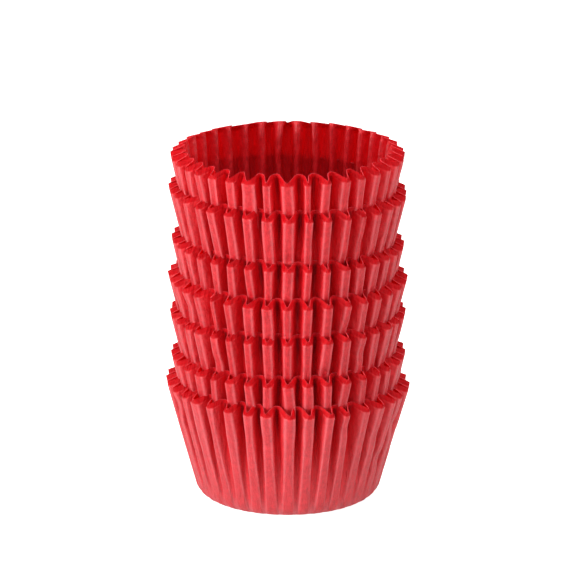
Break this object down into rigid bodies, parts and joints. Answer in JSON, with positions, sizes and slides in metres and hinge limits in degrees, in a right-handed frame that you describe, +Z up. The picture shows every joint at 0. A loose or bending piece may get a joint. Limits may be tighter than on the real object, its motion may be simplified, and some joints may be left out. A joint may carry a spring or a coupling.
{
  "type": "stack of cupcake liners",
  "caption": "Stack of nested pleated paper cupcake liners, each a flat round base with a fluted flaring wall and a scalloped rim, for holding batter in a baking tin.",
  "frame": {"origin": "centre of the bottom liner's flat base, on the surface that the stack stands on", "axes": "+Z up through the stack, -Y to the front, +X to the right"},
  "size_m": [0.0762, 0.0762, 0.1108],
  "materials": {
    "red_paper": "matt red greaseproof paper, dyed through, crimped into pleats"
  },
  "bodies": {
    "root": {"liner_1": "red_paper", "liner_2": "red_paper", "liner_3": "red_paper", "liner_4": "red_paper", "liner_5": "red_paper", "liner_6": "red_paper", "liner_7": "red_paper"}
  },
  "joints": []
}
